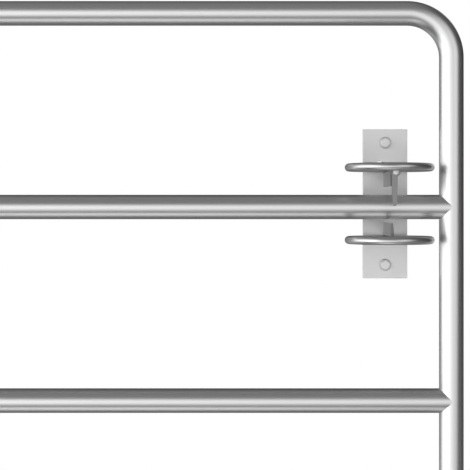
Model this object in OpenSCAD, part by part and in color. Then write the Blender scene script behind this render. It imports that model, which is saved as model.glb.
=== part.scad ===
// Five-rail tube gate on pin hinges, with its latch.
// The gate runs along +X from its hinges to its latch, is looked at along +Y and has +Z up.
// The origin is on the back face of the lower hinge plate, which bolts to the hinge post.

/* [Gate] */
// Overall width of the swinging leaf
gate_w = 2400; // [1200:50:3600]
// Overall height of the swinging leaf
gate_h = 1100; // [900:10:1300]
// Outer diameter of the bent perimeter tube
frame_d = 33.7; // [30:0.1:45]
// Outer diameter of the rails welded between the uprights
rail_d = 33.5; // [29:0.1:42]
// Wall of every tube
tube_wall = 2; // [1.5:0.1:3]
// Radius of the corner bends at the tube's centre
bend_r = 61; // [50:1:90]

/* [Plates] */
// Width of the plates that bolt to the posts
plate_w = 62.4; // [50:0.1:90]
// Height of the plates
plate_h = 209.4; // [170:0.1:260]
// Thickness of the plates
plate_t = 5; // [4:0.5:8]
// Distance from a plate's end to the screw beside it
screw_edge = 19; // [14:0.5:24]
// Distance from the front of a plate to the middle of the gate
gate_standoff = 42; // [40:1:52]

/* [Screws] */
// Shank diameter of the plate screws
screw_d = 8; // [6:1:10]
// Hexagon of the screw heads, across flats
screw_af = 13; // [10:1:16]
// Height of the hexagon
screw_head_h = 5.5; // [4:0.5:8]
// Diameter of the collar under the head
collar_d = 17; // [14:1:24]
// Thickness of the collar
collar_t = 1.6; // [1:0.1:3]

/* [Hinges] */
// Distance from the middle of an end rail to the hinge beside it
hinge_inset = 133; // [110:1:140]
// Diameter of the hinge pins and of the eye bolts
pin_d = 16; // [12:0.5:20]
// Outer diameter of the eyes
eye_d = 34; // [28:1:44]
// Height of the eyes
eye_h = 30; // [24:1:40]
// Thickness of the lugs that carry the pins
lug_t = 12; // [8:1:16]
// Length of pin that stands above the eye
pin_top = 9; // [5:1:20]
// Bare length of the eye bolt between its eye and its outer nut
bolt_neck = 14; // [8:1:40]
// Hexagon of the eye bolt's nuts, across flats
nut_af = 24; // [22:1:30]
// Thickness of the nuts
nut_t = 13; // [10:1:16]
// Diameter of the washers
washer_d = 30; // [28:1:34]
// Thickness of the washers
washer_t = 3; // [2:0.5:4]
// Length of the eye bolt that stands past its inner nut
bolt_end = 12; // [5:1:30]

/* [Latch] */
// Outer diameter of the guard rings
ring_d = 122; // [110:1:150]
// Diameter of the rings' round bar
ring_bar = 10.8; // [8:0.1:13]
// Thickness of the fins
fin_t = 5; // [4:0.5:6]
// Height of the upper fin
upper_fin_h = 19.7; // [16:0.1:24]
// Height of the lower fin
lower_fin_h = 17.5; // [15:0.1:24]

/* [Catch] */
// Distance of the pivot to the side of the fins' middle
pivot_side = 4; // [3.5:0.1:5]
// Distance from the upper fin's top edge down to the pivot
pivot_drop = 1.7; // [1:0.1:8]
// Diameter of the pivot stud
stud_d = 6; // [5:0.5:7.5]
// Length of the stud beside the fin
stud_seat = 18; // [10:1:30]
// Height of the stud's head
stud_head_h = 2.6; // [2:0.1:4]
// Width of the stud's head around the hub's bore
stud_head_lip = 1; // [0.8:0.1:3]
// Wall of the catch's hub
hub_wall = 3; // [2:0.1:4]
// Width of the catch's arm at its hub
arm_w = 8.6; // [7:0.2:9.4]
// Width of the arm where its tip starts
arm_end_w = 6.2; // [5:0.2:7]
// Distance of the arm's middle to the side of the pivot
arm_side = -1.4; // [-2:0.1:0]
// Thickness of the catch
catch_t = 5; // [4:0.5:6]
// Height of the catch's tip above the second rail's centre
tip_up = 1.3; // [-4:0.1:6]
// Length of the catch's narrowing tip
tip_len = 8; // [5:0.5:12]
// Width of the tip
tip_w = 4; // [2:0.5:6]

/* [Clearances] */
// Gap between a hinge pin and the bore of its eye
pin_gap = 0.7; // [0.4:0.1:1]
// Gap between an eye bolt and its holes in the upright
bolt_gap = 0.5; // [0.3:0.1:1]
// Gap between an eye bolt and its nuts
thread_gap = 0.1; // [0.1:0.05:0.2]
// Gap between a screw and its hole
screw_gap = 0.5; // [0.3:0.1:1]
// Gap between the hinge eyes and the lugs under them
seat_gap = 0.3; // [0.2:0.1:0.5]
// Gap between pieces that are welded where their curves touch
weld_gap = 0.2; // [0.1:0.1:0.3]
// Gap under the second rail in the latch
under_gap = 5.2; // [5:0.1:10]
// Gap over the second rail in the latch
over_gap = 11.9; // [5:0.1:20]
// Gap between the guard rings and the latch upright
side_gap = 9.2; // [6:0.1:30]
// Gap between the stud and the hub
stud_gap = 0.3; // [0.2:0.1:0.5]
// Gap on each face of the catch
catch_gap = 0.8; // [0.5:0.1:1]
// Gap between the stud's head and the rings
head_gap = 2.4; // [1:0.1:5]

/* [Hidden] */
$fn = 96;

// A cut runs this far past the faces that it opens
past = 1;

steel = [0.72, 0.73, 0.74];
plate_steel = [0.80, 0.81, 0.82];
dark_steel = [0.55, 0.56, 0.57];

// Depths, measured along Y, where 0 is the posts' face
plate_front = -plate_t;
gate_y = plate_front - gate_standoff;

// Heights of the hinges and of the five rails, bottom rail first
rail_pitch = (gate_h - frame_d) / 4;
rail_z = [for (i = [0:4]) i * rail_pitch - hinge_inset];
lower_hinge_z = 0;
upper_hinge_z = rail_z[4] - hinge_inset;

// Distances along the gate, where 0 is the hinge pins' axis
nut_face = frame_d / 2;
hinge_upright_x = eye_d / 2 + bolt_neck + nut_t + washer_t + nut_face;
latch_upright_x = hinge_upright_x + gate_w - frame_d;
latch_x = latch_upright_x - frame_d / 2 - side_gap - ring_d / 2;
bolt_tip = hinge_upright_x + nut_face + washer_t + nut_t + bolt_end;
eye_seat = -eye_h / 2 - seat_gap;
screw_pitch = plate_h - 2 * screw_edge;

// Latch: its mouth takes the second rail, and the plate's middle is midway between the rings
mouth_top = rail_z[3] + rail_d / 2 + over_gap;
mouth_foot = rail_z[3] - rail_d / 2 - under_gap;
upper_ring_z = mouth_top + upper_fin_h + weld_gap + ring_bar / 2;
lower_ring_z = mouth_foot - lower_fin_h - weld_gap - ring_bar / 2;
latch_z = (upper_ring_z + lower_ring_z) / 2;
ring_r = (ring_d - ring_bar) / 2;
ring_y = plate_front - weld_gap - ring_d / 2;

// The catch hangs between the upper fin's front edge and the front of the ring
ring_inner_front = ring_y - ring_d / 2 + ring_bar;
stud_front = ring_inner_front + head_gap;
catch_front = stud_front + stud_head_h + catch_gap;
fin_front = catch_front + catch_t + catch_gap;
fin_reach = plate_front - fin_front;
pivot_x = latch_x + pivot_side;
pivot_z = mouth_top + upper_fin_h - pivot_drop;
hub_bore = stud_d + 2 * stud_gap;
catch_len = pivot_z - rail_z[3] - tip_up;

// A tube's cross-section
module tube_section(d) {
  difference() {
    circle(d = d);
    circle(d = d - 2 * tube_wall);
  }
}

// A straight tube along Z, standing on the origin
module tube(d, len) {
  linear_extrude(len) tube_section(d);
}

// A round bar along X, Y or Z that starts at the origin
module bar_x(d, len) {
  rotate([0, 90, 0]) cylinder(d = d, h = len);
}

module bar_y(d, len) {
  rotate([-90, 0, 0]) cylinder(d = d, h = len);
}

// ---- Gate leaf ----

// A rail of the perimeter, straight between its two bends
module outer_rail(z) {
  color(steel)
    translate([hinge_upright_x + bend_r, gate_y, z])
      rotate([0, 90, 0])
        tube(frame_d, latch_upright_x - hinge_upright_x - 2 * bend_r);
}

// A rail between the uprights, its ends cut to their round
module inner_rail(z) {
  color(steel)
    difference() {
      translate([hinge_upright_x, gate_y, z])
        rotate([0, 90, 0])
          tube(rail_d, latch_upright_x - hinge_upright_x);
      for (x = [hinge_upright_x, latch_upright_x])
        translate([x, gate_y, z - frame_d])
          cylinder(d = frame_d, h = 2 * frame_d);
    }
}

// An upright, straight between its two bends
module upright(x) {
  translate([x, gate_y, rail_z[0] + bend_r])
    tube(frame_d, rail_z[4] - rail_z[0] - 2 * bend_r);
}

module hinge_upright() {
  color(steel)
    difference() {
      upright(hinge_upright_x);
      for (z = [lower_hinge_z, upper_hinge_z])
        translate([hinge_upright_x - frame_d, gate_y, z])
          bar_x(pin_d + 2 * bolt_gap, 2 * frame_d);
    }
}

module latch_upright() {
  color(steel) upright(latch_upright_x);
}

// A quarter bend; side is -1 at the hinges and 1 at the latch, top is -1 or 1
module bend(side, top) {
  x = side < 0 ? hinge_upright_x + bend_r : latch_upright_x - bend_r;
  z = top < 0 ? rail_z[0] + bend_r : rail_z[4] - bend_r;
  start = top > 0 ? (side > 0 ? 0 : 90) : (side > 0 ? 270 : 180);
  color(steel)
    translate([x, gate_y, z])
      rotate([90, 0, 0])
        rotate([0, 0, start])
          rotate_extrude(angle = 90)
            translate([bend_r, 0]) tube_section(frame_d);
}

// ---- Hinges ----

// An eye on a bolt that passes through the upright
module eye_bolt(z) {
  color(dark_steel)
    translate([0, gate_y, z])
      difference() {
        union() {
          translate([0, 0, -eye_h / 2]) cylinder(d = eye_d, h = eye_h);
          bar_x(pin_d, bolt_tip);
        }
        translate([0, 0, -eye_h / 2 - past])
          cylinder(d = pin_d + 2 * pin_gap, h = eye_h + 2 * past);
      }
}

// A nut with its washer, which grips the upright from one side
module nut_and_washer() {
  difference() {
    union() {
      bar_x(washer_d, washer_t);
      translate([washer_t, 0, 0])
        rotate([0, 90, 0]) cylinder(d = nut_af / cos(30), h = nut_t, $fn = 6);
    }
    translate([-past, 0, 0]) bar_x(pin_d + 2 * thread_gap, washer_t + nut_t + 2 * past);
  }
}

module eye_nuts(z) {
  color(dark_steel)
    translate([hinge_upright_x, gate_y, z]) {
      translate([nut_face, 0, 0]) nut_and_washer();
      mirror([1, 0, 0]) translate([nut_face, 0, 0]) nut_and_washer();
    }
}

// A plate that bolts to a post by two screws
module post_plate(x, z) {
  color(plate_steel)
    difference() {
      translate([x - plate_w / 2, plate_front, z - plate_h / 2])
        cube([plate_w, plate_t, plate_h]);
      for (side = [-1, 1])
        translate([x, plate_front - past, z + side * screw_pitch / 2])
          bar_y(screw_d + 2 * screw_gap, plate_t + 2 * past);
    }
}

// The two screws of a plate, shown down to the plate's back face
module plate_screws(x, z) {
  color(plate_steel)
    for (side = [-1, 1])
      translate([x, plate_front, z + side * screw_pitch / 2]) {
        bar_y(screw_d, plate_t);
        translate([0, -collar_t, 0]) bar_y(collar_d, collar_t);
        translate([0, -collar_t - screw_head_h, 0])
          rotate([-90, 0, 0]) cylinder(d = screw_af / cos(30), h = screw_head_h, $fn = 6);
      }
}

// A hinge pin on the lug that carries it out from its plate
module hinge_pin(z) {
  color(dark_steel)
    translate([0, gate_y, z]) {
      translate([0, 0, eye_seat - lug_t])
        linear_extrude(lug_t) {
          circle(d = eye_d);
          translate([-eye_d / 2, 0]) square([eye_d, gate_standoff]);
        }
      translate([0, 0, eye_seat - lug_t])
        cylinder(d = pin_d, h = lug_t + seat_gap + eye_h + pin_top);
    }
}

// ---- Latch ----

// A guard ring, welded to the plate where it touches it
module guard_ring(z) {
  color(steel)
    translate([latch_x, ring_y, z])
      rotate_extrude() translate([ring_r, 0]) circle(d = ring_bar);
}

// A fin on its edge between the mouth and a ring
module fin(foot, h) {
  translate([latch_x - fin_t / 2, fin_front, foot])
    cube([fin_t, fin_reach, h]);
}

module upper_fin() {
  color(plate_steel)
    difference() {
      fin(mouth_top, upper_fin_h);
      translate([pivot_x, fin_front - past, pivot_z])
        bar_y(stud_d + 2 * weld_gap, stud_seat + past);
    }
}

module lower_fin() {
  color(plate_steel) fin(mouth_foot - lower_fin_h, lower_fin_h);
}

// The stud that the catch swings on, set into the side of the upper fin
module catch_stud() {
  head_d = hub_bore + 2 * stud_head_lip;
  color(dark_steel)
    translate([pivot_x, stud_front, pivot_z]) {
      bar_y(stud_d, fin_front + stud_seat - stud_front - weld_gap);
      bar_y(head_d, stud_head_h);
    }
}

// The catch, a flat arm that hangs from the stud in front of the second rail
module catch() {
  arm_end = catch_len - tip_len;
  tip_centre = catch_len - tip_w / 2;
  color(dark_steel)
    translate([pivot_x, catch_front, pivot_z])
      rotate([-90, 0, 0])
        linear_extrude(catch_t)
          difference() {
            union() {
              circle(d = hub_bore + 2 * hub_wall);
              translate([arm_side, 0]) {
                polygon([
                  [-arm_w / 2, 0], [arm_w / 2, 0], [arm_end_w / 2, arm_end],
                  [tip_w / 2, tip_centre], [-tip_w / 2, tip_centre], [-arm_end_w / 2, arm_end]
                ]);
                translate([0, tip_centre]) circle(d = tip_w);
              }
            }
            circle(d = hub_bore);
          }
}

outer_rail(rail_z[4]);  // top_rail
inner_rail(rail_z[3]);  // second_rail
inner_rail(rail_z[2]);  // middle_rail
inner_rail(rail_z[1]);  // fourth_rail
outer_rail(rail_z[0]);  // bottom_rail
hinge_upright();
latch_upright();
bend(-1, 1);  // top_hinge_bend
bend(1, 1);  // top_latch_bend
bend(-1, -1);  // bottom_hinge_bend
bend(1, -1);  // bottom_latch_bend
eye_bolt(upper_hinge_z);  // upper_eye_bolt
eye_bolt(lower_hinge_z);  // lower_eye_bolt
eye_nuts(upper_hinge_z);  // upper_eye_nuts
eye_nuts(lower_hinge_z);  // lower_eye_nuts
post_plate(0, upper_hinge_z);  // upper_hinge_plate
post_plate(0, lower_hinge_z);  // lower_hinge_plate
hinge_pin(upper_hinge_z);  // upper_hinge_pin
hinge_pin(lower_hinge_z);  // lower_hinge_pin
plate_screws(0, upper_hinge_z);  // upper_hinge_screws
plate_screws(0, lower_hinge_z);  // lower_hinge_screws
post_plate(latch_x, latch_z);  // latch_plate
plate_screws(latch_x, latch_z);  // latch_screws
guard_ring(upper_ring_z);  // upper_ring
guard_ring(lower_ring_z);  // lower_ring
upper_fin();
lower_fin();
catch_stud();
catch();
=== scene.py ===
"""A five-rail tube gate with its pin hinges and its ring-guarded latch."""
import math
from contextlib import contextmanager

import bmesh
import bpy
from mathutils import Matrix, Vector


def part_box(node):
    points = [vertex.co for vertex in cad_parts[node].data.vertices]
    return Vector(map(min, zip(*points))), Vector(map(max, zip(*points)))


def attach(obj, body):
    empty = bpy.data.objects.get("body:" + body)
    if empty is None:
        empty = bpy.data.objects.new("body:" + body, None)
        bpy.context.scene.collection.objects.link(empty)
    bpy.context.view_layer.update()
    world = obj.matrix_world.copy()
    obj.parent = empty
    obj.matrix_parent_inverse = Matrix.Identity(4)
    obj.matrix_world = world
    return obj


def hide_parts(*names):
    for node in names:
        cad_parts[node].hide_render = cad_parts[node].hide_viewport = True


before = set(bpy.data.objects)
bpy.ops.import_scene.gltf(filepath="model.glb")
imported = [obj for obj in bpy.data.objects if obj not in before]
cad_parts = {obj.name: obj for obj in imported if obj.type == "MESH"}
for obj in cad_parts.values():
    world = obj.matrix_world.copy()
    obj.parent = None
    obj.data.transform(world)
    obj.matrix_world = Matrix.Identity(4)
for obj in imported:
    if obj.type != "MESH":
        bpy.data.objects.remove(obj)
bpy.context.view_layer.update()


# ---- Perimeter tube ----
# One length of round steel tube, bent to a quarter turn at each corner of the leaf and
# butted to itself in the middle of the bottom rail. It is galvanised once it is made up.

def middle_of(node):
    """The middle of a node's box."""
    low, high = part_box(node)
    return (low + high) / 2


def size_of(node):
    """The length of each side of a node's box."""
    low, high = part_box(node)
    return high - low


def add(kind, **size):
    """A new primitive, with its place in its mesh."""
    bpy.ops.object.select_all(action="DESELECT")
    getattr(bpy.ops.mesh, f"primitive_{kind}_add")(**size)
    bpy.ops.object.transform_apply(location=True, rotation=True, scale=True)
    return bpy.context.object


@contextmanager
def editing(piece):
    """Edit mode on one piece, with all of it selected."""
    bpy.ops.object.select_all(action="DESELECT")
    bpy.context.view_layer.objects.active = piece
    piece.select_set(True)
    bpy.ops.object.mode_set(mode="EDIT")
    bpy.ops.mesh.select_all(action="SELECT")
    yield
    bpy.ops.object.mode_set(mode="OBJECT")


def extrude(step):
    """Draws the selected edges out by a step."""
    bpy.ops.mesh.extrude_edges_move(TRANSFORM_OT_translate={"value": step})


def apply_modifier(piece, kind, **settings):
    """Adds a modifier and applies it at once."""
    bpy.ops.object.select_all(action="DESELECT")
    bpy.context.view_layer.objects.active = piece
    piece.select_set(True)
    modifier = piece.modifiers.new(kind.lower(), kind)
    for name, value in settings.items():
        setattr(modifier, name, value)
    bpy.ops.object.modifier_apply(modifier=modifier.name)


same_point = 0.000005       # points nearer than this are made one


def finish(piece, name, body, nodes, smooth_angle=40):
    """Smooths a piece, names it, and hangs it on its body in place of its CAD nodes."""
    with editing(piece):
        bpy.ops.mesh.remove_doubles(threshold=same_point)
        bpy.ops.mesh.normals_make_consistent(inside=False)
    bpy.ops.object.shade_smooth_by_angle(angle=math.radians(smooth_angle))
    apply_modifier(piece, "WEIGHTED_NORMAL", mode="FACE_AREA", weight=80, keep_sharp=True)
    piece.name = name
    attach(piece, body)
    if nodes:
        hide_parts(*nodes)
    return piece


tube_r = size_of("latch_upright").x / 2
gate_y = middle_of("latch_upright").y
hinge_side_x = middle_of("hinge_upright").x
latch_side_x = middle_of("latch_upright").x
leaf_middle_x = (hinge_side_x + latch_side_x) / 2
top_z = middle_of("top_rail").z
bottom_z = middle_of("bottom_rail").z
bend_r = top_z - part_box("latch_upright")[1].z
tube_sides = 96
bend_steps = 36
smooth_throughout = 180     # the smoothing angle of a piece with no sharp edge
true_length = 0.008         # the last of each straight, so that the bend's shading ends there


def lay_tube():
    """Runs a ring of points round the leaf, along each side and round each corner."""
    inner_x = (hinge_side_x + bend_r, latch_side_x - bend_r)
    inner_z = (bottom_z + bend_r, top_z - bend_r)
    wide = inner_x[1] - inner_x[0]
    tall = inner_z[1] - inner_z[0]
    tube = add(
        "circle", vertices=tube_sides, radius=tube_r,
        location=(leaf_middle_x, gate_y, bottom_z), rotation=(0, math.pi / 2, 0),
    )
    sides = (
        (Vector((1, 0, 0)), wide / 2, (inner_x[1], inner_z[0])),
        (Vector((0, 0, 1)), tall, (inner_x[1], inner_z[1])),
        (Vector((-1, 0, 0)), wide, (inner_x[0], inner_z[1])),
        (Vector((0, 0, -1)), tall, (inner_x[0], inner_z[0])),
        (Vector((1, 0, 0)), wide / 2, None),
    )
    with editing(tube):
        for way, length, corner in sides:
            extrude(way * true_length)
            extrude(way * (length - 2 * true_length))
            extrude(way * true_length)
            if corner:
                bpy.ops.mesh.spin(
                    steps=bend_steps, angle=math.pi / 2,
                    center=(corner[0], gate_y, corner[1]), axis=(0, 1, 0),
                )
    return tube


perimeter_nodes = (
    "top_rail", "bottom_rail", "hinge_upright", "latch_upright",
    "top_hinge_bend", "top_latch_bend", "bottom_hinge_bend", "bottom_latch_bend",
)
perimeter = finish(
    lay_tube(), "perimeter_tube", "gate_leaf", perimeter_nodes, smooth_throughout)


class Wire:
    """A shader socket that can be used in sums."""

    def __init__(self, board, socket):
        self.board = board
        self.socket = socket

    def sum(self, operation, *values):
        """A Math node on some values."""
        return self.board.add(
            "ShaderNodeMath", {"operation": operation}, dict(enumerate(values)))

    def __add__(self, other):
        return self.sum("ADD", self, other)

    def __radd__(self, other):
        return self.sum("ADD", other, self)

    def __sub__(self, other):
        return self.sum("SUBTRACT", self, other)

    def __rsub__(self, other):
        return self.sum("SUBTRACT", other, self)

    def __mul__(self, other):
        return self.sum("MULTIPLY", self, other)

    def __rmul__(self, other):
        return self.sum("MULTIPLY", other, self)


class Board:
    """The nodes of one material, or of the world."""

    def __init__(self, owner):
        owner.use_nodes = True
        self.tree = owner.node_tree
        self.tree.nodes.clear()

    def add(self, kind, settings=None, sockets=None, out=0):
        """A node with its settings made first, then its sockets filled; gives one output."""
        node = self.tree.nodes.new(kind)
        for name, value in (settings or {}).items():
            setattr(node, name, value)
        for name, value in (sockets or {}).items():
            if isinstance(value, Wire):
                self.tree.links.new(value.socket, node.inputs[name])
            else:
                node.inputs[name].default_value = value
        return Wire(self, node.outputs[out]) if node.outputs else None


zinc_blue = 1.004           # zinc's blue, as a share of its grey


def steel(
        name, grey, roughness, metallic=1.0, mottle=0.04, grain=0.03, dimple=0.00002,
        painted_shade=None):
    """Galvanised steel: cloudy zinc (mottle), an uneven sheen (grain) and a low dimple.

    A painted shade is a function that gives the share of the colour that is left at each point,
    darker where shade is painted.
    """
    material = bpy.data.materials.new(name)
    board = Board(material)
    place = board.add("ShaderNodeTexCoord", out="Object")
    clouds = board.add(
        "ShaderNodeTexNoise", {"noise_dimensions": "3D"},
        {"Vector": place, "Scale": 35.0, "Detail": 3.0, "Roughness": 0.55},
    )
    grains = board.add(
        "ShaderNodeTexNoise", {"noise_dimensions": "3D"},
        {"Vector": place, "Scale": 900.0, "Detail": 2.0, "Roughness": 0.5},
    )
    shade = 1 - mottle / 2 + clouds * mottle
    if painted_shade:
        shade = shade * painted_shade(board)
    shade_colour = board.add(
        "ShaderNodeCombineColor", None, {"Red": shade, "Green": shade, "Blue": shade})
    colour = board.add(
        "ShaderNodeMix", {"data_type": "RGBA", "blend_type": "MULTIPLY"},
        {0: 1.0, 6: (grey, grey, grey * zinc_blue, 1), 7: shade_colour},
        out=2,
    )
    relief = board.add(
        "ShaderNodeBump", None,
        {"Height": grains, "Distance": dimple, "Strength": 1.0},
    )
    surface = board.add(
        "ShaderNodeBsdfPrincipled", None,
        {"Base Color": colour, "Metallic": metallic, "Normal": relief,
         "Roughness": roughness - grain / 2 + clouds * grain},
    )
    board.add("ShaderNodeOutputMaterial", None, {"Surface": surface})
    return material


def paint(piece, material):
    """Gives a piece its one material."""
    piece.data.materials.clear()
    piece.data.materials.append(material)


tube_zinc = steel("tube_zinc", 0.72, 0.36, mottle=0.02, grain=0.02)
paint(perimeter, tube_zinc)


# ---- Inner rails ----
# Three straight tubes of the same stock between the uprights. Each end is sawn to a V
# that saddles the round of the upright, so that the weld runs out at its middle.

rail_ease = 0.00002         # off the radius, so that no face lies in one of the perimeter's


def inner_rail(node):
    """A straight tube with its two ends cut to a V."""
    middle = middle_of(node)
    rail = add(
        "cylinder", vertices=tube_sides, radius=tube_r - rail_ease,
        depth=latch_side_x - hinge_side_x + 2 * tube_r,
        location=(leaf_middle_x, gate_y, middle.z), rotation=(0, math.pi / 2, 0),
    )
    with editing(rail):
        for x, side in ((hinge_side_x, -1), (latch_side_x, 1)):
            true_x = x - side * (tube_r + true_length)
            bpy.ops.mesh.select_all(action="SELECT")
            bpy.ops.mesh.bisect(plane_co=(true_x, gate_y, middle.z), plane_no=(1, 0, 0))
            for slope in (-1, 1):
                bpy.ops.mesh.select_all(action="SELECT")
                bpy.ops.mesh.bisect(
                    plane_co=(x, gate_y, middle.z), plane_no=(side, 0, slope),
                    clear_outer=True, use_fill=True)
    return rail


for node in ("second_rail", "middle_rail", "fourth_rail"):
    rail = finish(inner_rail(node), node + "_tube", "gate_leaf", [node])
    paint(rail, tube_zinc)


# ---- Post plates ----
# Flat steel plates, sheared to length with their edges eased, which bolt to the posts:
# one behind each hinge and one behind the latch. Each has two drilled screw holes.

screw_hole_r = 0.0045
plate_edge = 0.0008
plate_thickness = size_of("latch_plate").y


def carve(piece, tool, operation="DIFFERENCE"):
    """Cuts a piece with a tool, or joins it to one, and throws the tool away."""
    apply_modifier(piece, "BOOLEAN", object=tool, operation=operation, solver="EXACT")
    bpy.data.objects.remove(tool)


def ease_edges(piece, width, segments=2):
    """Rounds the sharp edges of a piece."""
    apply_modifier(
        piece, "BEVEL", width=width, segments=segments, limit_method="ANGLE",
        angle_limit=math.radians(35), use_clamp_overlap=True,
    )


def post_plate(node, screws):
    """A plate with a hole for each of its screws."""
    plate = add("cube", size=1, location=middle_of(node), scale=size_of(node))
    for place in screws:
        drill = add(
            "cylinder", vertices=48, radius=screw_hole_r, depth=3 * plate_thickness,
            location=(place.x, middle_of(node).y, place.z), rotation=(math.pi / 2, 0, 0),
        )
        carve(plate, drill)
    ease_edges(plate, plate_edge)
    return plate


def screws_of(node):
    """The middle of each of the two screws of a set, from the set's box."""
    low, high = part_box(node)
    end = (high.x - low.x) / 2
    x = (low.x + high.x) / 2
    return [Vector((x, high.y, z)) for z in (low.z + end, high.z - end)]


plate_zinc = steel("plate_zinc", 0.75, 0.5, metallic=0.5, mottle=0.04)
plates = (
    ("upper_hinge_plate", "upper_hinge_screws", "upper_hinge_base"),
    ("lower_hinge_plate", "lower_hinge_screws", "lower_hinge_base"),
    ("latch_plate", "latch_screws", "latch_base"),
)
for node, screws, name in plates:
    plate = finish(
        post_plate(node, screws_of(screws)), name, "fixed_ironwork", [node])
    paint(plate, plate_zinc)


# ---- Screws ----
# Hexagon-headed coach screws with a round collar forged under the head. The shank is
# seen only at the plate's back face, where the post begins.

forward = Vector((0, -1, 0))
head_across_flats = 0.013
head_height = 0.0055
head_crown = 0.8            # the crown's width, as a share of the width across flats
head_edge = 0.0002
# Painted shade: the sides of the head, and more so the collar under it, are painted darker where
# shade falls.
head_painted_shade = 0.12
head_shade_fade = (0.0001, 0.0006)            # back from the crown, where the painted shade comes in
collar_r = size_of("latch_screws").x / 2
collar_thickness = 0.0016
collar_painted_shade = 0.07      # painted shade on top of the head's
collar_shade_fade = (-0.0012, -0.0001)        # back from the collar's front, where this comes in
collar_profile = (          # (share of the thickness, step in from the full radius)
    (0, 0), (0.5, 0), (0.85, 0.0005), (1, 0.0012),
)
shank_r = 0.004
overshoot = 0.001           # how far a cutting tool runs past what it cuts


def turn(start, axis, outline, sides=64):
    """A turned solid: a disc drawn out along an axis through (distance, radius) points."""
    axis = Vector(axis)
    tilt = axis.to_track_quat("Z", "Y").to_euler()
    first, radius = outline[0]
    piece = add(
        "circle", vertices=sides, radius=radius, fill_type="NGON",
        location=Vector(start) + axis * first, rotation=tilt,
    )
    with editing(piece):
        for (here, radius), (there, next_radius) in zip(outline, outline[1:]):
            bpy.ops.mesh.extrude_region_move(
                TRANSFORM_OT_translate={"value": axis * (there - here)})
            scale = next_radius / radius
            bpy.ops.transform.resize(
                value=(scale, scale, scale), center_override=Vector(start) + axis * there)
    return piece


def join(pieces):
    """Makes several pieces one, named as the first."""
    bpy.ops.object.select_all(action="DESELECT")
    for piece in pieces:
        piece.select_set(True)
    bpy.context.view_layer.objects.active = pieces[0]
    bpy.ops.object.join()
    return bpy.context.object


def hexagon(start, axis, across_flats, height, crown=0.95):
    """A hexagon with the outer end turned down at 30 degrees to a round crown."""
    slope = math.radians(30)
    corner_r = across_flats / 2 / math.cos(math.pi / 6)
    crown_r = crown * across_flats / 2
    blank_r = corner_r * 1.02           # clear of the corners
    fall = (blank_r - crown_r) * math.tan(slope)
    block = turn(start, axis, ((0, corner_r), (height, corner_r)), sides=6)
    blank = turn(
        start, axis,
        ((-overshoot, blank_r), (height - fall, blank_r), (height, crown_r)), sides=96)
    carve(block, blank, "INTERSECT")
    return block


def coach_screw(place):
    """A screw that stands out of the plate, with its shank cut off at the post's face."""
    face = place + forward * plate_thickness
    shank = turn(place, forward, ((0, shank_r), (plate_thickness, shank_r)), sides=32)
    collar = turn(
        face, forward,
        [(share * collar_thickness, collar_r - step) for share, step in collar_profile])
    head = hexagon(
        face + forward * collar_thickness, forward, head_across_flats, head_height, head_crown)
    ease_edges(head, head_edge)
    return join([shank, collar, head])


def rise(value, start, end):
    """0 before start and 1 after end, with a soft slope between."""
    return value.board.add(
        "ShaderNodeMapRange", {"interpolation_type": "SMOOTHSTEP"},
        {"Value": value, "From Min": start, "From Max": end})


def depth_of(board):
    """How far back each point of a surface lies."""
    place = board.add("ShaderNodeTexCoord", out="Object")
    return board.add("ShaderNodeSeparateXYZ", None, {0: place}, out="Y")


def painted_screw_shade(board):
    """Painted shade: darker below the crown, and more so on the collar, where shade falls under
    the head.
    """
    depth = depth_of(board)
    collar_front = -plate_thickness - collar_thickness
    crown_front = collar_front - head_height
    head_side = rise(depth, crown_front + head_shade_fade[0], crown_front + head_shade_fade[1])
    collar = rise(depth, collar_front + collar_shade_fade[0], collar_front + collar_shade_fade[1])
    return 1 - head_painted_shade * head_side - collar_painted_shade * collar


screw_zinc = steel("screw_zinc", 0.77, 0.5, metallic=0.5, mottle=0.05, painted_shade=painted_screw_shade)
for _, node, _ in plates:
    pair = join([coach_screw(place) for place in screws_of(node)])
    screws = finish(
        pair, node.replace("screws", "screw_pair"), "fixed_ironwork", [node])
    paint(screws, screw_zinc)


# ---- Guard rings ----
# Round bar bent to a full ring and butt-welded to itself, one above and one below the
# second rail. Each touches the latch plate at its back, and is welded there.

ring_steel = steel("ring_steel", 0.64, 0.36, mottle=0.02, grain=0.02)


def guard_ring(node):
    """A ring of round bar."""
    size = size_of(node)
    return add(
        "torus", major_segments=160, minor_segments=40, location=middle_of(node),
        major_radius=(size.y - size.z) / 2, minor_radius=size.z / 2,
    )


for node, name in (("upper_ring", "upper_guard"), ("lower_ring", "lower_guard")):
    ring = finish(
        guard_ring(node), name, "fixed_ironwork", [node], smooth_throughout)
    paint(ring, ring_steel)


weld_pool = 0.0018          # the length of one pool of weld
weld_end = 0.3              # the radius at the two ends of a run, as a share of its radius
weld_dip = 0.94             # the radius between two pools, as a share of the first's


def weld_bead(start, along, length, radius):
    """A run of weld with round ends, rippled where each pool set on the last."""
    pools = round(length / weld_pool)
    end_r = radius * weld_end
    outline = [(0, end_r)]
    for pool in range(pools):
        share = (pool + 0.5) / pools
        dip_share = (pool + 0.85) / pools
        pool_r = radius * math.sqrt(1 - abs(2 * share - 1) ** 3)
        outline += [(length * share, pool_r), (length * dip_share, pool_r * weld_dip)]
    return turn(start, along, outline + [(length, end_r)], sides=20)


ring_weld_length = 0.0095
ring_weld_r = 0.0046
ring_weld_side = 0.0082     # the run lies to the left of where the ring touches the plate
ring_weld_depth = 0.6       # its depth, as a share of its height
ring_weld_flat = 0.0016     # how far the weld stands out of the plate, ground flat
latch_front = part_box("latch_plate")[0].y

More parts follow.
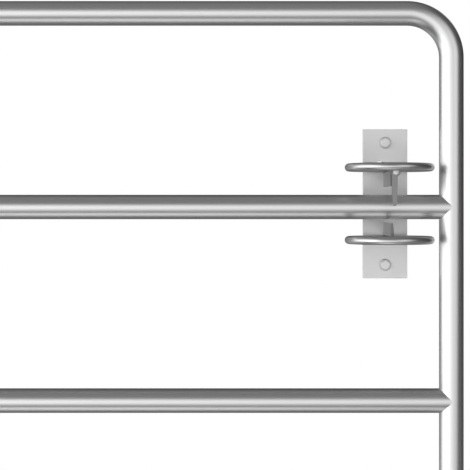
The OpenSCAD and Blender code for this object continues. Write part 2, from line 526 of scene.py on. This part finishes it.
weld_metal = steel("weld_metal", 0.98, 0.25, mottle=0.12, grain=0.08, dimple=0.00005)
for node, from_middle in (("upper_ring", 0.0068), ("lower_ring", -0.0042)):
    middle = middle_of(node)
    left = middle.x - ring_weld_side - ring_weld_length / 2
    start = Vector((left, latch_front, middle.z + from_middle))
    bead = weld_bead(start, (1, 0, 0), ring_weld_length, ring_weld_r)
    with editing(bead):
        bpy.ops.transform.resize(value=(1, ring_weld_depth, 1), center_override=start)
        bpy.ops.mesh.bisect(
            plane_co=start + forward * ring_weld_flat, plane_no=forward,
            clear_outer=True, use_fill=True)
    bead = finish(
        bead, node + "_weld", "fixed_ironwork", [], smooth_angle=50)
    paint(bead, weld_metal)


# ---- Fins ----
# Flat bars on edge, welded to the latch plate above and below the mouth that takes the
# second rail. The catch's stud is let into the side of the upper one.

def painted_bar_shade(front, share, behind, fade):
    """Painted shade for flat bar: one share of the colour on its front face, and another on its
    sides behind.
    """
    def painted_shade(board):
        return share + (behind - share) * rise(depth_of(board), front, front + fade)
    return painted_shade


fin_edge = 0.0007
lower_fin_top = 0.0036      # its width at the top, where its right side leans in


def fin(node):
    """A square-edged flat bar."""
    return add("cube", size=1, location=middle_of(node), scale=size_of(node))


stud_low, stud_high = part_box("catch_stud")
stud_middle = (stud_low + stud_high) / 2
stud_foot = Vector((stud_middle.x, stud_high.y, stud_middle.z))
stud_r = 0.003
seat_gap = 0.0002           # round the stud and behind it, in the upper fin
seat_r = stud_r + seat_gap
seat_length = stud_high.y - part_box("upper_fin")[0].y + overshoot
upper = fin("upper_fin")
seat = turn(
    stud_foot - forward * seat_gap, forward, ((0, seat_r), (seat_length, seat_r)), sides=48)
carve(upper, seat)
lower = fin("lower_fin")
with editing(lower):
    bpy.ops.mesh.select_all(action="DESELECT")
    mesh = bmesh.from_edit_mesh(lower.data)
    middle = middle_of("lower_fin")
    for vert in mesh.verts:
        vert.select_set(vert.co.z > middle.z and vert.co.x > middle.x)
    mesh.select_flush(False)
    bpy.ops.transform.translate(value=(lower_fin_top - size_of("lower_fin").x, 0, 0))
for piece, node in ((upper, "upper_fin"), (lower, "lower_fin")):
    ease_edges(piece, fin_edge)
    finish(piece, node + "_bar", "fixed_ironwork", [node])
    # Painted shade: each fin's front face is painted darker than its sides, which take the light
    # from the left.
    paint(piece, steel(
        node + "_steel", 0.42, 0.55, metallic=0.5, mottle=0.06,
        painted_shade=painted_bar_shade(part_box(node)[0].y, share=0.52, behind=1, fade=2 * fin_edge)))


# ---- Catch ----
# A flat arm cut from plate, with a drilled hub. It hangs from a stud with a domed head,
# in front of the second rail, and is swung aside by hand.

catch_low, catch_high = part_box("catch")
catch_thickness = catch_high.y - catch_low.y
hub_r = (catch_high.x - catch_low.x) / 2
hub_middle = Vector((stud_middle.x, catch_high.y, catch_high.z - hub_r))
hub_bore_r = stud_r + 0.0003
arm_side = -0.0014          # the arm hangs to the left of the stud
arm_width = 0.0086
arm_end_width = 0.0062
tip_width = 0.004
tip_length = 0.008
catch_shade_fade = 0.0018         # how far back the paler painted shade of its front face fades to the darker painted shade of its edges
stud_head_height = 0.0026


def flat_bar(start, thickness, outline):
    """A flat bar that hangs from a point, through (height, width) stations."""
    width = outline[0][1]
    here = start.z
    bar = add("plane", size=1, location=start)
    with editing(bar):
        bpy.ops.transform.resize(value=(width, thickness, 1), center_override=start)
        for height, next_width in outline[1:]:
            bpy.ops.mesh.extrude_region_move(
                TRANSFORM_OT_translate={"value": (0, 0, height - here)})
            bpy.ops.transform.resize(
                value=(next_width / width, 1, 1), center_override=(start.x, start.y, height))
            here, width = height, next_width
    return bar


def catch_arm():
    """The hub with its arm, drilled for the stud."""
    tip_r = tip_width / 2
    hub = turn(hub_middle, forward, ((0, hub_r), (catch_thickness, hub_r)), sides=96)
    outline = [
        (hub_middle.z, arm_width), (catch_low.z + tip_length, arm_end_width),
        (catch_low.z + tip_r, tip_width)]
    outline += [
        (catch_low.z + tip_r * (1 - math.sin(angle)), tip_width * math.cos(angle))
        for angle in map(math.radians, (20, 40, 60, 80))]
    arm_start = hub_middle + forward * catch_thickness / 2 + Vector((arm_side, 0, 0))
    arm = flat_bar(arm_start, catch_thickness, outline)
    with editing(arm):
        bpy.ops.mesh.normals_make_consistent(inside=False)
    carve(hub, arm, "UNION")
    drill = turn(
        hub_middle - forward * overshoot, forward,
        ((0, hub_bore_r), (catch_thickness + 2 * overshoot, hub_bore_r)), sides=48)
    carve(hub, drill)
    return hub


# Painted shade: the catch's front face is painted paler, and its rounded edges and sides behind
# it darker.
catch_steel = steel(
    "catch_steel", 0.42, 0.5, metallic=0.5, mottle=0.06,
    painted_shade=painted_bar_shade(catch_low.y, share=0.66, behind=0.42, fade=catch_shade_fade))
catch = finish(catch_arm(), "catch_arm", "catch", ["catch"])
paint(catch, catch_steel)

stud_head_r = (stud_high.x - stud_low.x) / 2
dome_profile = (            # (share of the head's height, share of its radius)
    (0, 0.97), (0.2, 1), (0.5, 0.96), (0.75, 0.85), (0.92, 0.64), (1, 0.36),
)
dome = [(share * stud_head_height, wide * stud_head_r) for share, wide in dome_profile]
stud_length = stud_high.y - stud_low.y - stud_head_height
stud = join([
    turn(stud_foot, forward, ((0, stud_r), (stud_length, stud_r)), sides=48),
    turn(stud_foot + forward * stud_length, forward, dome, sides=48),
])
stud = finish(stud, "catch_pivot", "fixed_ironwork", ["catch_stud"])
paint(stud, screw_zinc)


# ---- Hinge pins ----
# A steel pin stands in a lug cut from 12 mm plate, whose round end carries the eye of the
# gate. The lug is welded to its post plate along its top and its bottom edge.

pin_r = 0.008
pin_foot = 0.001            # how far above the lug's underside the pin starts
pin_chamfer = 0.0018
chamfer_middle = (0.4, 0.45)            # down from the top, and in, as shares of the chamfer
lug_thickness = 0.012
lug_edge = 0.001
lug_weld_r = 0.0026
lug_weld_inset = 0.002      # how far the weld stops short of each side of the lug
lug_weld_depth = 0.0006     # how far its middle lies in front of the plate


def hinge_pin(node):
    """A lug with its pin and its two runs of weld."""
    low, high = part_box(node)
    lug_r = (high.x - low.x) / 2
    axis_y = low.y + lug_r
    lug = add(
        "circle", vertices=96, radius=lug_r, fill_type="NGON", location=(0, axis_y, low.z))
    with editing(lug):
        bpy.ops.mesh.bisect(
            plane_co=(0, axis_y, low.z), plane_no=(0, 1, 0), clear_outer=True, use_fill=False)
        extrude(Vector((0, high.y - axis_y, 0)))
        bpy.ops.mesh.select_all(action="SELECT")
        bpy.ops.mesh.extrude_region_move(
            TRANSFORM_OT_translate={"value": (0, 0, lug_thickness)})
        bpy.ops.mesh.select_all(action="SELECT")
        bpy.ops.mesh.normals_make_consistent(inside=False)
    ease_edges(lug, lug_edge, 3)
    top = high.z - low.z - pin_foot
    down, inward = (share * pin_chamfer for share in chamfer_middle)
    pin = turn(
        (0, axis_y, low.z + pin_foot), (0, 0, 1),
        ((0, pin_r), (lug_thickness - pin_foot, pin_r), (top - pin_chamfer, pin_r),
         (top - down, pin_r - inward), (top, pin_r - pin_chamfer)))
    weld_x = -lug_r + lug_weld_inset
    beads = [
        weld_bead((weld_x, high.y - lug_weld_depth, z), (1, 0, 0), -2 * weld_x, lug_weld_r)
        for z in (low.z, low.z + lug_thickness)
    ]
    return join([lug, pin] + beads)


hinge_zinc = steel("hinge_zinc", 0.55, 0.42, mottle=0.09, grain=0.06, dimple=0.00003)
for level in ("upper", "lower"):
    pin = finish(
        hinge_pin(f"{level}_hinge_pin"), f"{level}_gudgeon", "fixed_ironwork",
        [f"{level}_hinge_pin"])
    paint(pin, hinge_zinc)


# ---- Eye bolts ----
# A forged eye on a threaded bolt, which goes through the upright. The eye turns on the
# hinge pin, and the thread lets the gate be trued up.

eye_bore_r = 0.0087
eye_edge = 0.0012
neck = (                    # (distance from the middle of the eye, radius)
    (0.0128, 0.0125), (0.0165, 0.0118), (0.0182, 0.0100), (0.0200, 0.0088),
    (0.0222, 0.0081), (0.0235, pin_r), (0.0255, pin_r),
)
inner_thread = (0.0265, 0.0445)
plain_shank = (0.0455, 0.0960)
outer_thread = (0.0965, 0.0022)         # its start, and how far short of the bolt's end it stops
bolt_tip = ((0.0014, 0.0009), (0, 0.0022))      # (short of the bolt's end, off the radius)
plain_r = pin_r - 0.0004
thread_pitch = 0.002
thread_depth = 0.0011
thread_flank = 0.38         # where a turn reaches its full radius, as a share of the pitch


def thread(start, end):
    """The outline of a run of thread."""
    turns = round((end - start) / thread_pitch)
    outline = []
    for number in range(turns):
        here = start + number * thread_pitch
        outline += [
            (here, pin_r - thread_depth), (here + thread_flank * thread_pitch, pin_r),
            (here + (1 - thread_flank) * thread_pitch, pin_r)]
    return outline + [(end, pin_r - thread_depth)]


def eye_bolt(node):
    """An eye with its threaded bolt."""
    low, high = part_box(node)
    middle = (low + high) / 2
    eye_middle = (0, middle.y, middle.z)
    eye_r = (high.y - low.y) / 2
    tall = high.z - low.z
    eye = add("cylinder", vertices=96, radius=eye_r, depth=tall, location=eye_middle)
    bore = add("cylinder", vertices=96, radius=eye_bore_r, depth=2 * tall, location=eye_middle)
    carve(eye, bore)
    ease_edges(eye, eye_edge, 3)
    end = high.x
    outline = list(neck) + thread(*inner_thread)
    outline += [(distance, plain_r) for distance in plain_shank]
    outline += thread(outer_thread[0], end - outer_thread[1])
    outline += [(end - short, pin_r - less) for short, less in bolt_tip]
    bolt = turn(eye_middle, (1, 0, 0), outline)
    return join([eye, bolt])


bolt_zinc = steel("bolt_zinc", 0.62, 0.34, mottle=0.08, grain=0.05)
for level in ("upper", "lower"):
    bolt = finish(
        eye_bolt(f"{level}_eye_bolt"), f"{level}_eye", "gate_leaf", [f"{level}_eye_bolt"])
    paint(bolt, bolt_zinc)


# ---- Eye bolt nuts ----
# Each eye bolt is held by a hexagon nut and a round washer on either side of the upright.
# The chamfered end of each nut faces away from the tube.

nut_across_flats = 0.024
nut_thickness = 0.013
nut_bore_r = pin_r + 0.0001
nut_edge = 0.0004
washer_r = size_of("upper_eye_nuts").z / 2
washer_thickness = 0.003
washer_chamfer = (0.0004, 0.0003)       # along the bolt, and across it


def nut_and_washer(face, side, y, z):
    """A washer on the face of the upright and a nut on the washer."""
    out = Vector((side, 0, 0))
    foot = Vector((face, y, z))
    along, across = washer_chamfer
    washer = turn(
        foot, out,
        ((0, washer_r - across), (along, washer_r), (washer_thickness - along, washer_r),
         (washer_thickness, washer_r - across)), sides=96)
    nut = hexagon(foot + out * washer_thickness, out, nut_across_flats, nut_thickness)
    for part in (washer, nut):
        bore = add(
            "cylinder", vertices=64, radius=nut_bore_r, depth=0.1,
            location=foot, rotation=(0, math.pi / 2, 0))
        carve(part, bore)
    ease_edges(nut, nut_edge)
    return [washer, nut]


for level in ("upper", "lower"):
    node = f"{level}_eye_nuts"
    middle = middle_of(node)
    parts = []
    for side in (-1, 1):
        parts += nut_and_washer(hinge_side_x + side * tube_r, side, middle.y, middle.z)
    nuts = finish(join(parts), f"{level}_nut_pair", "gate_leaf", [node])
    paint(nuts, bolt_zinc)


# ---- Studio ----
# A pale floor, and a pale wall behind the camera with a bright panel to its left and a strip
# light to its right, which give the round tubes their bands. Lights behind the gate give the
# tubes thin rims, and a low lamp at the right lights the flat ironwork.

ground_gap = 0.15           # under the bottom rail
ground_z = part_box("bottom_rail")[0].z - ground_gap


def world_light():
    """The studio's light by direction, and plain white behind the gate."""
    world = bpy.data.worlds.new("studio")
    bpy.context.scene.world = world
    board = Board(world)
    way = board.add("ShaderNodeTexCoord", out="Generated")
    x, y, z = (board.add("ShaderNodeSeparateXYZ", None, {0: way}, out=axis) for axis in "XYZ")
    degrees = 180 / math.pi
    bearing = x.sum("ARCTAN2", x, 0 - y) * degrees      # 0 towards the camera, 90 to the right
    height = z.sum("ARCSINE", z) * degrees              # above the horizon
    tilt = z.sum("ARCTAN2", z, 0 - y) * degrees         # -90 straight down, whatever x is

    def span(value, start, full, fade, end):
        """1 from full to fade, with a soft slope from start and to end."""
        return rise(value, start, full) * (1 - rise(value, fade, end))

    ceiling = 0.08 + 0.14 * rise(height, 5, 60) * (1 - 0.85 * rise(x, 0.1, 0.6))
    ceiling = ceiling * (1 - 0.65 * rise(y, 0.1, 0.8) * rise(height, -12, 4))
    wall = span(bearing, -85, -10, 46, 52) * span(height, -49, -12, 5, 29) * (1.17 - 1.1 * x)
    panel = span(bearing, -125, -92, -45, -30) * span(height, -32, -9, 5, 55)
    strip = span(bearing, 16, 28, 56, 59) * span(height, -7, 0, 21, 53)
    floor_glow = span(tilt, -112, -76, -62, -54)
    floor_glow = floor_glow * rise(x, -0.5, -0.2) * (1 - 0.8 * rise(x, -0.1, 0.35))
    low_back = rise(y, 0.1, 0.6) * rise(0 - height, 5, 20)
    left_back = span(0 - bearing, 113, 132, 150, 168) * span(height, -60, -40, 40, 60)
    right = rise(x, -0.1, 0.1)                          # 0 on the left, 1 on the right
    sides = rise(x * x, 0.22 - 0.11 * right, 0.36 - 0.16 * right)
    rear_box = span(height, 16, 26, 44, 54) * (1 - 0.75 * right)
    rear_box = rear_box + span(0 - height, 16, 26, 44, 54) * right
    rear_box = rear_box * sides * rise(y, 0.58, 0.74)
    rear_floor = sides * rise(y, 0.2, 0.45) * span(height, -70, -50, -35, -25)
    light = ceiling + wall + 1.9 * panel + 0.75 * strip + 1.24 * floor_glow
    light = light + 0.085 * low_back + 0.25 * left_back + 2.2 * rear_box + 0.35 * rear_floor

    backdrop = rise(y, math.cos(math.radians(8)), math.cos(math.radians(5)))
    light = light * (1 - backdrop) + backdrop
    seen = board.add("ShaderNodeLightPath", out="Is Camera Ray")
    level = light * (1 - seen) + seen
    colour = board.add(
        "ShaderNodeCombineColor", None, {"Red": level, "Green": level, "Blue": level})
    glow = board.add("ShaderNodeBackground", None, {"Color": colour, "Strength": 1.0})
    board.add("ShaderNodeOutputWorld", None, {"Surface": glow})


world_light()

floor_middle = (leaf_middle_x, 0, ground_z)
floor = add("plane", size=400, location=floor_middle)
floor.name = "studio_floor"
floor.visible_glossy = False
whiteness = 0.7             # how far the floor is plain white under the gate
fade_reach = (1.6, 3.2)     # how far away it starts to be whiter, and is all white


def floor_paint():
    """A pale matt floor that fades to plain white away from the gate."""
    material = bpy.data.materials.new("floor_paint")
    board = Board(material)
    place = board.add("ShaderNodeTexCoord", out="Object")
    away = board.add(
        "ShaderNodeVectorMath", {"operation": "DISTANCE"}, {0: place, 1: floor_middle}, out=1)
    fade = whiteness + (1 - whiteness) * rise(away, *fade_reach)
    seen = board.add("ShaderNodeLightPath", out="Is Camera Ray")
    matt = board.add("ShaderNodeBsdfDiffuse", None, {"Color": (0.85, 0.85, 0.85, 1)})
    white = board.add("ShaderNodeEmission", None, {"Color": (1, 1, 1, 1), "Strength": 1.0})
    surface = board.add("ShaderNodeMixShader", None, {0: seen * fade, 1: matt, 2: white})
    board.add("ShaderNodeOutputMaterial", None, {"Surface": surface})
    return material


paint(floor, floor_paint())

lamp_place = Vector((3.0, -2.5, 0.1))   # in front and to the right, near the ground
lamp_aim = Vector((2.3, 0, 0.67))
lamp_tilt = (lamp_aim - lamp_place).to_track_quat("-Z", "Y").to_euler()
bpy.ops.object.light_add(type="AREA", location=lamp_place, rotation=lamp_tilt)
lamp = bpy.context.object
lamp.data.shape = "DISK"
lamp.data.size = 0.8
lamp.data.energy = 17.5
lamp.visible_camera = False
lamp.visible_glossy = False

camera_x = 2.1419
camera_distance = 2.0       # in front of the middle of the tubes
picture_width = 470
camera_place = Vector((camera_x, gate_y - camera_distance, middle_of("second_rail").z))
bpy.ops.object.camera_add(location=camera_place, rotation=(math.pi / 2, 0, 0))
camera = bpy.context.object
camera.data.lens = 111.25
camera.data.sensor_width = 36
camera.data.shift_x = -7 / picture_width
camera.data.shift_y = -28 / picture_width
bpy.context.scene.camera = camera

bpy.context.scene.view_settings.view_transform = "Standard"
